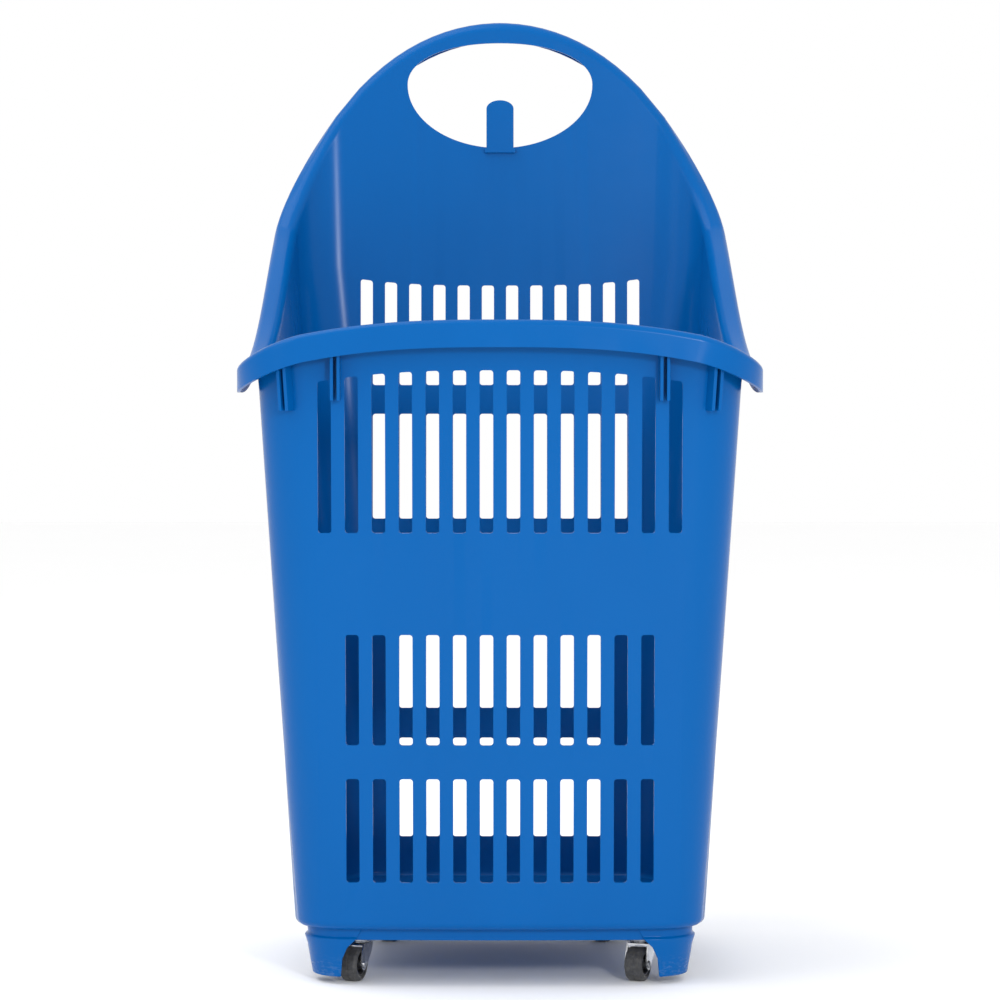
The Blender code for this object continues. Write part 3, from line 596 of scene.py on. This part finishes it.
class Column:
    """One line up the tub's wall, with the slot, if any, that begins there."""

    def __init__(self, wall, place, upper=None, slot=None):
        self.wall = wall
        self.place = place
        self.upper = place if upper is None else upper
        self.slot = slot
        self.rim_z = self.rim_height()
        self.levels = self.level_heights()

    def point(self, z, inset=0.0):
        _, vent_top, group_bottom, _ = UPPER_LEVELS
        share = min(1.0, max(0.0, (z - vent_top) / (group_bottom - vent_top)))
        spot, normal = getattr(Plan(z, inset), "on_" + self.wall)(mix(self.place, self.upper, share))
        return Vector((spot.x, spot.y, z)), Vector((normal.x, normal.y, 0.0))

    def rim_height(self):
        if self.wall == "front":
            return RIM_FRONT_Z - rim_droop(self.place)
        if self.wall == "front_corner":
            begin = Plan(RIM_LOW_Z).front.x
            start = RIM_FRONT_Z - rim_droop(begin)
            start_slope = -DROOP_POWER * rim_droop(begin) / begin
            length = (FRONT_RADIUS + FLANGE) * math.pi / 2
            return hermite(start, RIM_LOW_Z, start_slope, LOW_SLOPE, length, self.place)
        if self.wall == "side":
            begin, end = Plan(RIM_LOW_Z).side_start_y(), Plan(SIDE_END_Z).side_end_y()
            share = (self.place - begin) / (end - begin)
            return hermite(RIM_LOW_Z, SIDE_END_Z, LOW_SLOPE, SIDE_END_SLOPE, end - begin, share)
        if self.wall == "rear_corner":
            length = REAR_RADIUS * math.pi / 2
            end = arch_height(Plan(CORNER_END_Z).rear.x)
            return hermite(SIDE_END_Z, end, CORNER_START_SLOPE, CORNER_END_SLOPE, length, self.place)
        return arch_height(self.upper)

    def level_heights(self):
        if self.wall == "front":
            droop = OUTER_SLOT_DROOP * (self.place / FRONT_END) ** DROOP_POWER
            levels = (*FRONT_LEVELS[:5], FRONT_LEVELS[5] - droop)
        elif self.wall == "front_corner":
            start = (*FRONT_LEVELS[:5], FRONT_LEVELS[5] - OUTER_SLOT_DROOP)
            levels = tuple(mix(a, b, self.place) for a, b in zip(start, SIDE_LEVELS))
        elif self.wall == "side":
            levels = SIDE_LEVELS
        else:
            share = self.place if self.wall == "rear_corner" else 1.0
            levels = tuple(mix(a, b, share) for a, b in zip(SIDE_LEVELS, REAR_LEVELS))
        return levels + self.upper_levels(levels[5])

    def upper_levels(self, top):
        step = (self.rim_z - WALL - FILLET - top) / (len(UPPER_LEVELS) + 1)
        plain = tuple(top + i * step for i in range(1, len(UPPER_LEVELS) + 1))
        if self.wall == "rear":
            rise = OUTER_SLOT_RISE * (min(self.upper, REAR_UPPER_END) / REAR_UPPER_END) ** 3
            return (*UPPER_LEVELS[:-1], UPPER_LEVELS[-1] + rise)
        if self.wall == "rear_corner":
            rear = (*UPPER_LEVELS[:-1], UPPER_LEVELS[-1] + OUTER_SLOT_RISE)
            return tuple(mix(a, b, self.place) for a, b in zip(plain, rear))
        return plain


def rim_droop(x):
    """How much lower the front rim is at this distance from its middle."""
    return RIM_DROOP * (x / RIM_DROOP_AT) ** DROOP_POWER


def arch_height(x):
    return ARCH_TOP_Z - ARCH_BEND * x**2 - ARCH_SHOULDER * x**4


def tub_columns():
    """The right half's columns, from the front wall's middle round to the rear wall's middle."""
    front = [Column("front", 0.0)]
    for n in range(FRONT_SLOTS[2] // 2):
        front += [Column("front", slot_edge(n, -1), slot=n), Column("front", slot_edge(n, 1))]
    shares = [mix(CORNER_START, 1 - CORNER_START, i / (CORNER_STEPS - 1)) for i in range(CORNER_STEPS)]
    front_corner = [Column("front_corner", share) for share in shares]
    side = []
    for n in range(-SIDE_SLOTS[2] // 2, SIDE_SLOTS[2] // 2):
        number = n if n >= 0 else -n - 1
        middle = (n + 0.5) * PITCH
        side += [Column("side", middle - SLOT / 2, slot=number), Column("side", middle + SLOT / 2)]
    rear_corner = [Column("rear_corner", share) for share in shares]
    rear = [Column("rear", 0.0)]
    for n in range(REAR_SLOTS[-1] // 2):
        places = [slot_edge(n, side_of, REAR_PITCH, REAR_SLOT) for side_of in (-1, 1)]
        if n >= REAR_SLOTS[2] // 2:
            places = [REAR_LOWER_END + REAR_STEP, REAR_END]
        rear.append(Column("rear", places[0], slot_edge(n, -1)))
        rear.append(Column("rear", places[1], slot_edge(n, 1), slot=n))
    return front + front_corner + side + rear_corner + rear[::-1]


def is_open(column, row):
    if column.slot is None:
        return False
    counts = {"front": FRONT_SLOTS, "side": SIDE_SLOTS, "rear": REAR_SLOTS}[column.wall]
    return row < len(counts) and column.slot < counts[row] // 2


def rim_section(column, arc_steps=5):
    """The rim's underside from the wall outwards: how far out, and how far above the wall's top."""
    towards_rear = {"rear_corner": column.place, "rear": 1.0}.get(column.wall, 0.0)
    drop = mix(LIP_DROP, REAR_LIP_DROP, towards_rear)
    reach = FLANGE - WALL
    turns = [math.pi / 2 * i / arc_steps for i in range(arc_steps + 1)]
    fillet = [(FILLET * (1 - math.cos(a)), -FILLET * (1 - math.sin(a))) for a in turns]
    lip = [(reach - LIP_RADIUS * (1 - math.sin(a)), -LIP_RADIUS * (1 - math.cos(a))) for a in turns]
    return (*fillet, *lip, (reach, WALL - drop))


def rim_frames(columns):
    """At each column: the top of the wall, outwards, and upwards at right angles to the rim's run."""
    tops = [column.point(column.rim_z - WALL) for column in columns]
    frames = []
    for i, (top, normal) in enumerate(tops):
        before, after = tops[max(i - 1, 0)][0], tops[min(i + 1, len(tops) - 1)][0]
        run = after - before
        if i in (0, len(tops) - 1):
            run = Vector((run.x, 0.0, 0.0))
        up = normal.cross(run).normalized()
        frames.append((top, normal, up if up.z > 0 else -up))
    return frames


def column_line(column, top, outward, up):
    points = []
    for i in range(BOTTOM_STEPS + 1):
        angle = math.pi / 2 * i / BOTTOM_STEPS
        z = FLOOR_Z + BOTTOM_EDGE * (1 - math.cos(angle))
        spot, normal = column.point(z)
        points.append(spot - BOTTOM_EDGE * (1 - math.sin(angle)) * normal)
    points += [column.point(z)[0] for z in column.levels]
    return points + [top + out * outward + rise * up for out, rise in rim_section(column)]


class Sheet:
    """A grid of wall faces with rounded slots left out of it."""

    def __init__(self, columns):
        self.shape = bmesh.new()
        self.columns = columns
        self.grid = [
            [self.shape.verts.new(point) for point in column_line(column, *spot)]
            for column, spot in zip(columns, rim_frames(columns))
        ]
        self.extra = {}

    def edge_points(self, one, other):
        """The points a corner radius in from both ends of a grid edge, from the first vertex on."""
        key = (one, other) if one.index < other.index else (other, one)
        if key not in self.extra:
            start, end = key[0].co, key[1].co
            share = SLOT_CORNER / (end - start).length
            self.extra[key] = [self.shape.verts.new(start.lerp(end, part)) for part in (share, 1 - share)]
        found = self.extra[key]
        return found if key[0] is one else found[::-1]

    def between(self, one, other):
        key = (one, other) if one.index < other.index else (other, one)
        if key not in self.extra:
            return []
        return self.extra[key] if key[0] is one else self.extra[key][::-1]

    def round_corner(self, corner, before, after):
        """Fills one corner of a slot out to its radius; before and after are the neighbouring corners."""
        near = self.edge_points(corner, before)[0]
        far = self.edge_points(corner, after)[0]
        middle = near.co + far.co - corner.co
        line = [near]
        for i in range(1, 4):
            angle = math.pi / 2 * i / 4
            offset = (corner.co - far.co) * math.cos(angle) + (corner.co - near.co) * math.sin(angle)
            line.append(self.shape.verts.new(middle + offset))
        line.append(far)
        for one, other in zip(line, line[1:]):
            self.shape.faces.new((corner, other, one))

    def fill(self):
        self.shape.verts.index_update()
        cells = []
        for column, here, there in zip(self.columns, self.grid, self.grid[1:]):
            for k in range(len(here) - 1):
                row, above_slot = divmod(k - FIRST_SLOT_STATION, 2)
                is_slot = row >= 0 and not above_slot and is_open(column, row)
                cells.append((here[k], there[k], there[k + 1], here[k + 1], is_slot))
        for a, b, c, d, is_slot in cells:
            if is_slot:
                for corner, before, after in ((a, d, b), (b, a, c), (c, b, d), (d, c, a)):
                    self.round_corner(corner, before, after)
        for a, b, c, d, is_slot in cells:
            if not is_slot:
                loop = []
                for one, other in ((a, b), (b, c), (c, d), (d, a)):
                    loop += [one, *self.between(one, other)]
                self.shape.faces.new(loop)
        self.shape.faces.new([line[0] for line in reversed(self.grid)])
        for line in (self.grid[0], self.grid[-1]):
            for vertex in line:
                vertex.co.x = 0.0
        return mesh_of(self.shape, "tub sheet", outward=False)


# --- The tub's other features ---


def outline_at(z, inset, steps=16):
    plan = Plan(z, inset)
    right = [plan.on_front(plan.front.x * i / 6)[0] for i in range(6)]
    right += [plan.front_arc(mix(-math.pi / 2, plan.side_angle, i / steps))[0] for i in range(steps + 1)]
    right += [plan.rear_arc(mix(plan.side_angle, math.pi / 2, i / steps))[0] for i in range(steps + 1)]
    left = [Vector((-spot.x, spot.y)) for spot in reversed(right[1:])]
    return [(spot.x, spot.y, z) for spot in right + left]


def plinth_mesh():
    shape = bmesh.new()
    top = FLOOR_Z + WALL / 2
    inner = PLINTH_INSET + RIB
    corners = ((UNDER_Z, PLINTH_INSET), (top, PLINTH_INSET), (top, inner), (UNDER_Z, inner))
    loops = [[shape.verts.new(point) for point in outline_at(z, inset)] for z, inset in corners]
    for one, other in zip(loops, loops[1:] + loops[:1]):
        for i in range(len(one)):
            shape.faces.new((one[i - 1], one[i], other[i], other[i - 1]))
    return mesh_of(shape, "plinth")


def rib_mesh():
    """Ribs under the floor that tie the caster pads together, and the pads."""
    top = FLOOR_Z + WALL / 2
    front, rear = CASTERS["front_right"] - SHIFT, CASTERS["rear_right"] - SHIFT
    reach = PAD_HALF - RIB / 2
    parts = [
        block((reach - at.x, at.y - RIB / 2, UNDER_Z), (at.x - reach, at.y + RIB / 2, top))
        for at in (front, rear)
    ]
    shared_x = (front.x + rear.x) / 2
    for side in (-1, 1):
        low = (side * shared_x - RIB / 2, front.y + reach, UNDER_Z)
        parts.append(block(low, (side * shared_x + RIB / 2, rear.y - reach, top)))
        for at in (front, rear):
            x = side * at.x
            low = (x - PAD_HALF, at.y - PAD_HALF, UNDER_Z)
            parts.append(block(low, (x + PAD_HALF, at.y + PAD_HALF, top)))
    return joined(parts)


def leg_path(plan, front, inner_end, side_length, steps=12):
    if front:
        begin = plan.on_front(inner_end)[0]
        start = plan.front_angle(inner_end)
        turns = [plan.front_arc(mix(start, plan.side_angle, i / steps))[0] for i in range(1, steps + 1)]
        finish = plan.on_side(-DEPTH_HALF + side_length)[0]
    else:
        inner_end -= FRONT_HALF - REAR_HALF
        begin = plan.on_rear(inner_end)[0]
        start = plan.rear_angle(inner_end)
        turns = [plan.rear_arc(mix(start, plan.side_angle, i / steps))[0] for i in range(1, steps + 1)]
        finish = plan.on_side(DEPTH_HALF - side_length)[0]
    return [begin, *turns, finish]


def leg_mesh(front, side):
    shape = bmesh.new()
    rings = []
    for z, inset, inner_end, side_length in LEG_LEVELS:
        outer = leg_path(Plan(z, inset), front, inner_end, side_length)
        inner = leg_path(Plan(z, inset + LEG_WALL), front, inner_end, side_length)
        rings.append([shape.verts.new((side * spot.x, spot.y, z)) for spot in outer + inner[::-1]])
    count = len(rings[0])
    for upper, lower in zip(rings, rings[1:]):
        for i in range(count):
            j = (i + 1) % count
            shape.faces.new((upper[i], upper[j], lower[j], lower[i]))
    for ring in (rings[0], rings[-1]):
        for i in range(count // 2 - 1):
            shape.faces.new((ring[i], ring[i + 1], ring[count - 2 - i], ring[count - 1 - i]))
    return mesh_of(shape, "leg")


def front_column(x):
    if x <= FRONT_END:
        return Column("front", x)
    plan = Plan(RIM_LOW_Z)
    start, end = plan.front_angle(FRONT_END), plan.side_angle
    return Column("front_corner", (plan.front_angle(x) - start) / (end - start))


def gusset_blade(x, lower_z, side, shift):
    outward = front_column(x).point(lower_z)[1]
    outlines = []
    for edge in (-BLADE / 2, BLADE / 2):
        column = front_column(x + shift + edge)
        upper_z = column.rim_z - WALL / 2
        inside, outside = -WALL / 2, BLADE_DEPTH
        corners = ((lower_z, inside), (lower_z, outside), (upper_z, outside), (upper_z, inside))
        spots = [column.point(z)[0] + out * outward for z, out in corners]
        outlines.append([(side * spot.x, spot.y, spot.z) for spot in spots])
    return prism(*outlines)


def gusset_mesh():
    return joined([
        gusset_blade(x, lower_z, side, shift * BLADE_SPACING / 2)
        for x, lower_z in BLADES
        for side in (-1, 1)
        for shift in (-1, 1)
    ])


def panel_prism(outline, near, far):
    def middle(z):
        return DEPTH_HALF + DRAFT * (z - FLOOR_Z) - WALL / 2

    near_side = [(x, middle(z) + near, z) for x, z in outline]
    return prism(near_side, [(x, middle(z) + far, z) for x, z in outline])


def handle_outline(steps=96):
    points = []
    for i in range(steps):
        angle = 2 * math.pi * i / steps
        across, up = math.cos(angle), math.sin(angle)
        if up > 0.0:
            across = math.copysign(abs(across) ** (2 / HANDLE_POWER), across)
            up = HANDLE_UP * up ** (2 / HANDLE_POWER)
        else:
            up = HANDLE_DOWN * up
        points.append((HANDLE_HALF * across, HANDLE_MIDDLE_Z + up))
    return points


def tongue_outline(steps=20):
    """Domed at the top, and spreading into the panel with a small fillet at its foot."""
    right = []
    for i in range(5):
        angle = math.pi / 2 * i / 4
        x = TONGUE_HALF + TONGUE_FILLET * (1 - math.sin(angle))
        right.append((x, TONGUE_FOOT_Z + TONGUE_FILLET * (1 - math.cos(angle))))
    left = [(-x, z) for x, z in reversed(right)]
    dome = []
    for i in range(steps + 1):
        angle = math.pi * i / steps
        rise = (TONGUE_TOP_Z - TONGUE_SHOULDER_Z) * math.sin(angle)
        dome.append((TONGUE_HALF * math.cos(angle), TONGUE_SHOULDER_Z + rise))
    foot_half, foot_z = TONGUE_HALF + TONGUE_FILLET, TONGUE_FOOT_Z - TONGUE_ROOT
    return [(-foot_half, foot_z), (foot_half, foot_z)] + right + dome + left


def add_tub(plastic):
    half = Sheet(tub_columns()).fill()
    modifiers = (
        ("MIRROR", {"use_axis": (True, False, False), "merge_threshold": 0.0001}),
        ("SOLIDIFY", {"thickness": WALL, "offset": -1.0, "use_even_offset": True}),
    )
    cut = [("DIFFERENCE", panel_prism(handle_outline(), -HANDLE_CUT, HANDLE_CUT))]
    tongue = panel_prism(tongue_outline(), -TONGUE_THICK / 2, TONGUE_THICK / 2)
    pieces = {
        "tub_shell": finished(half, cut, EDGES["shell"], 2, modifiers),
        "tub_tongue": finished(tongue, (), EDGES["tongue"], 4),
        "tub_plinth": finished(plinth_mesh(), (), EDGES["plinth"]),
        "tub_ribs": finished(rib_mesh(), (), EDGES["ribs"]),
        "tub_gussets": finished(gusset_mesh(), (), EDGES["gussets"]),
    }
    for front, end in ((True, "front"), (False, "rear")):
        for side, name in ((-1, "left"), (1, "right")):
            pieces[f"tub_leg_{end}_{name}"] = finished(leg_mesh(front, side), (), EDGES["leg"])
    for name, mesh in pieces.items():
        mesh.transform(Matrix.Translation(SHIFT))
        made = add_object(name, mesh, plastic, "basket")
        if name == "tub_shell":
            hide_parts("basket_tub")


# --- Casters, each about its swivel axis ---


def plate_mesh():
    """A stamped plate with rounded corners."""
    top = UNDER_Z - GAP
    outline = []
    for quarter in range(4):
        middle = Vector((PLATE_HALF - PLATE_CORNER, PLATE_HALF - PLATE_CORNER))
        middle.rotate(Matrix.Rotation(quarter * math.pi / 2, 2))
        for i in range(7):
            angle = quarter * math.pi / 2 + math.pi / 2 * i / 6
            outline.append(middle + PLATE_CORNER * Vector((math.cos(angle), math.sin(angle))))
    plate = prism([(p.x, p.y, top - PLATE_THICK) for p in outline], [(p.x, p.y, top) for p in outline])
    return finished(plate, (), EDGES["plate"])


def race_mesh():
    """A turned ring that narrows to its foot, with a groove round it."""
    top = UNDER_Z - PLATE_THICK - 2 * GAP
    bottom = FORK_TOP_Z + GAP
    bore = KINGPIN_RADIUS + GAP
    groove = top - RACE_GROOVE_DOWN
    mouth_half, floor_half = RACE_GROOVE_HALVES
    floor = RACE_RADIUS - RACE_GROOVE_DEPTH
    inwards, down = RACE_SHOULDER
    profile = (
        (bore, bottom),
        (RACE_RADIUS - RACE_FOOT, bottom),
        (RACE_RADIUS, bottom + RACE_FOOT),
        (RACE_RADIUS, groove - mouth_half),
        (floor, groove - floor_half),
        (floor, groove + floor_half),
        (RACE_RADIUS, groove + mouth_half),
        (RACE_RADIUS, top - down),
        (RACE_RADIUS - inwards, top),
        (bore, top),
    )
    return finished(turned(profile), (), EDGES["race"])


def kingpin_mesh():
    under = FORK_TOP_Z - SHEET - GAP
    top = UNDER_Z - GAP
    head = [(radius, under - down) for radius, down in KINGPIN_HEAD]
    shank = [(KINGPIN_RADIUS, under), (KINGPIN_RADIUS, top), (0.0, top)]
    return finished(turned(head + shank), (), EDGES["kingpin"])


def cheek_outline(steps=16):
    top = FORK_TOP_Z - SHEET / 2
    boss = []
    for i in range(steps + 1):
        angle = mix(AXLE_BOSS_FROM, AXLE_BOSS_TO, i / steps)
        boss.append((-TRAIL + AXLE_BOSS * math.cos(angle), WHEEL_RADIUS + AXLE_BOSS * math.sin(angle)))
    return [(CHEEK_FRONT, top), (-CHEEK_BACK, top), CHEEK_HEEL, *boss, CHEEK_THROAT]


def fork_mesh():
    """Two cheeks under a crown that the kingpin passes through."""
    outer = CHEEK_INNER + SHEET
    outline = cheek_outline()
    cheeks = [
        prism([(side * CHEEK_INNER, y, z) for y, z in outline], [(side * outer, y, z) for y, z in outline])
        for side in (-1, 1)
    ]
    nose_half, nose_y = CROWN_NOSE
    right = [(outer, -CHEEK_BACK), (outer, CHEEK_FRONT), (nose_half, nose_y)]
    crown = right + [(-x, y) for x, y in reversed(right)]
    top = prism([(x, y, FORK_TOP_Z - SHEET) for x, y in crown], [(x, y, FORK_TOP_Z) for x, y in crown])
    bore = KINGPIN_RADIUS + GAP
    low, high = FORK_TOP_Z - 2 * SHEET, FORK_TOP_Z + SHEET
    drill = turned(((0.0, low), (bore, low), (bore, high), (0.0, high)), 32)
    return finished(top, [("UNION", joined(cheeks)), ("DIFFERENCE", drill)], EDGES["fork"], 3)


def on_axle(mesh):
    mesh.transform(Matrix.Translation((0.0, -TRAIL, WHEEL_RADIUS)))
    return mesh


def axle_mesh():
    end = CHEEK_INNER + SHEET + GAP
    left = [(radius, -end - out) for radius, out in AXLE_HEAD] + [(AXLE_RADIUS, -end)]
    profile = left + [(radius, -along) for radius, along in reversed(left)]
    return on_axle(finished(turned(profile, 48, "X")))


def hub_mesh():
    """A rim and a boss joined by a thin web."""
    boss = CHEEK_INNER - HUB_BOSS_CLEARANCE
    side = WHEEL_HALF - HUB_RECESS
    boss_end, boss_foot = HUB_BOSS_RADII
    rim_foot, rim_edge = HUB_RIM_RADII
    right = [
        (TYRE_SEAT - GAP, side),
        (rim_edge, side),
        (rim_foot, HUB_WEB_HALF),
        (boss_foot, HUB_WEB_HALF),
        (boss_end, boss),
        (AXLE_RADIUS + GAP, boss),
    ]
    profile = [(radius, -along) for radius, along in reversed(right)] + right
    return on_axle(finished(turned(profile, axis="X"), (), EDGES["hub"]))


def tyre_mesh():
    """Tyre with rounded shoulders and a shallow groove round the middle of its tread."""
    mouth_half, floor_half = TREAD_GROOVE_HALVES
    half = [(TYRE_SEAT, WHEEL_HALF - SIDEWALL_TAPER), (SIDEWALL_RADIUS, WHEEL_HALF)]
    for i in range(7):
        angle = math.pi / 2 * i / 6
        radius = WHEEL_RADIUS - TYRE_SHOULDER * (1 - math.sin(angle))
        half.append((radius, WHEEL_HALF - TYRE_SHOULDER * (1 - math.cos(angle))))
    half += [(WHEEL_RADIUS, mouth_half), (WHEEL_RADIUS - TREAD_GROOVE_DEPTH, floor_half)]
    profile = [(radius, -along) for radius, along in half] + half[::-1]
    return on_axle(finished(turned(profile, 96, "X")))


def screw_mesh():
    """Pan head with a cross recess."""
    under = UNDER_Z - PLATE_THICK - 2 * GAP
    head = [(radius, under - down) for radius, down in SCREW_HEAD]
    shank = [
        (SCREW_RADIUS, under),
        (SCREW_RADIUS, SCREW_END_Z - SCREW_TIP_LENGTH),
        (SCREW_TIP_RADIUS, SCREW_END_Z),
        (0.0, SCREW_END_Z),
    ]
    bottom = head[0][1]
    low, high = bottom - RECESS_DEPTH, bottom + RECESS_DEPTH
    cross = [
        ("DIFFERENCE", block((-x, -y, low), (x, y, high)))
        for x, y in ((RECESS_ARM, RECESS_HALF), (RECESS_HALF, RECESS_ARM))
    ]
    return finished(turned(head + shank, 32), cross)


def add_casters(zinc, steel, hub, rubber, screw_steel):
    """Every caster piece, finer than its CAD node and in the same place."""
    fixed = {
        "plate": (plate_mesh(), steel),
        "race": (race_mesh(), zinc),
        "kingpin": (kingpin_mesh(), steel),
    }
    turning = {"fork": (fork_mesh(), zinc), "axle": (axle_mesh(), steel)}
    rolling = {"hub": (hub_mesh(), hub), "tyre": (tyre_mesh(), rubber)}
    screw = screw_mesh()
    for name, joint in CASTERS.items():
        place = Matrix.Translation((joint.x, joint.y, 0.0))
        turn = place @ Matrix.Rotation(-REST_SWIVEL, 4, "Z")
        groups = (
            (fixed, place, "basket"),
            (turning, turn, f"{name}_swivel"),
            (rolling, turn, f"{name}_wheel"),
        )
        for group, matrix, body in groups:
            for piece, (mesh, material) in group.items():
                add_piece(f"{name}_{piece}", mesh, matrix, material, body)
        ends = (-SCREW_OFFSET, SCREW_OFFSET)
        offsets = [(dx, dy) for dx in ends for dy in ends]
        for number, (dx, dy) in enumerate(offsets, 1):
            spot = Matrix.Translation((dx, dy, 0.0))
            matrix = place @ spot @ Matrix.Rotation(SCREW_TURN * number, 4, "Z")
            add_piece(f"{name}_screw_{number}", screw, matrix, screw_steel, "basket")


def add_piece(node, mesh, matrix, material, body):
    copied = mesh.copy()
    copied.transform(matrix)
    made = add_object(node + "_detail", copied, material, body)
    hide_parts(node)


# --- Studio ---


def add_floor():
    """A pale floor, wide enough to run past every view."""
    shape = bmesh.new()
    corners = ((-1, -1), (1, -1), (1, 1), (-1, 1))
    shape.faces.new([shape.verts.new((FLOOR_HALF * x, FLOOR_HALF * y, 0.0)) for x, y in corners])
    add_object("studio_floor", mesh_of(shape, "floor", outward=False), floor_paper())


def add_light(name, place, aim, size, power):
    light = bpy.data.lights.new(name, "AREA")
    light.shape = "RECTANGLE"
    light.size, light.size_y = size
    light.energy = power
    lamp = bpy.data.objects.new(name, light)
    bpy.context.scene.collection.objects.link(lamp)
    lamp.location = place
    lamp.rotation_euler = (Vector(aim) - Vector(place)).to_track_quat("-Z", "Y").to_euler()


def add_studio():
    add_floor()
    for light in LIGHTS:
        add_light(*light)
    world = bpy.data.worlds.new("studio")
    bpy.context.scene.world = world
    world.use_nodes = True
    background = world.node_tree.nodes["Background"]
    background.inputs["Color"].default_value = (1.0, 1.0, 1.0, 1.0)
    background.inputs["Strength"].default_value = 1.0
    bpy.context.scene.view_settings.view_transform = "Standard"


def add_camera():
    data = bpy.data.cameras.new("camera")
    data.sensor_width = CAMERA_SENSOR
    data.lens = CAMERA_LENS
    camera = bpy.data.objects.new("camera", data)
    bpy.context.scene.collection.objects.link(camera)
    camera.location = CAMERA_PLACE
    camera.rotation_euler = (CAMERA_TILT, 0.0, 0.0)
    bpy.context.scene.camera = camera


def build():
    add_camera()
    add_tub(basket_plastic())
    steel = plated_steel("caster_steel", (0.56, 0.57, 0.59), 0.30, True)
    zinc = plated_steel("caster_zinc", (0.68, 0.69, 0.71), 0.22, False)
    screw_steel = plated_steel("screw_steel", (0.62, 0.62, 0.64), 0.27, False)
    add_casters(zinc, steel, hub_plastic(), tyre_rubber(), screw_steel)
    add_studio()


build()
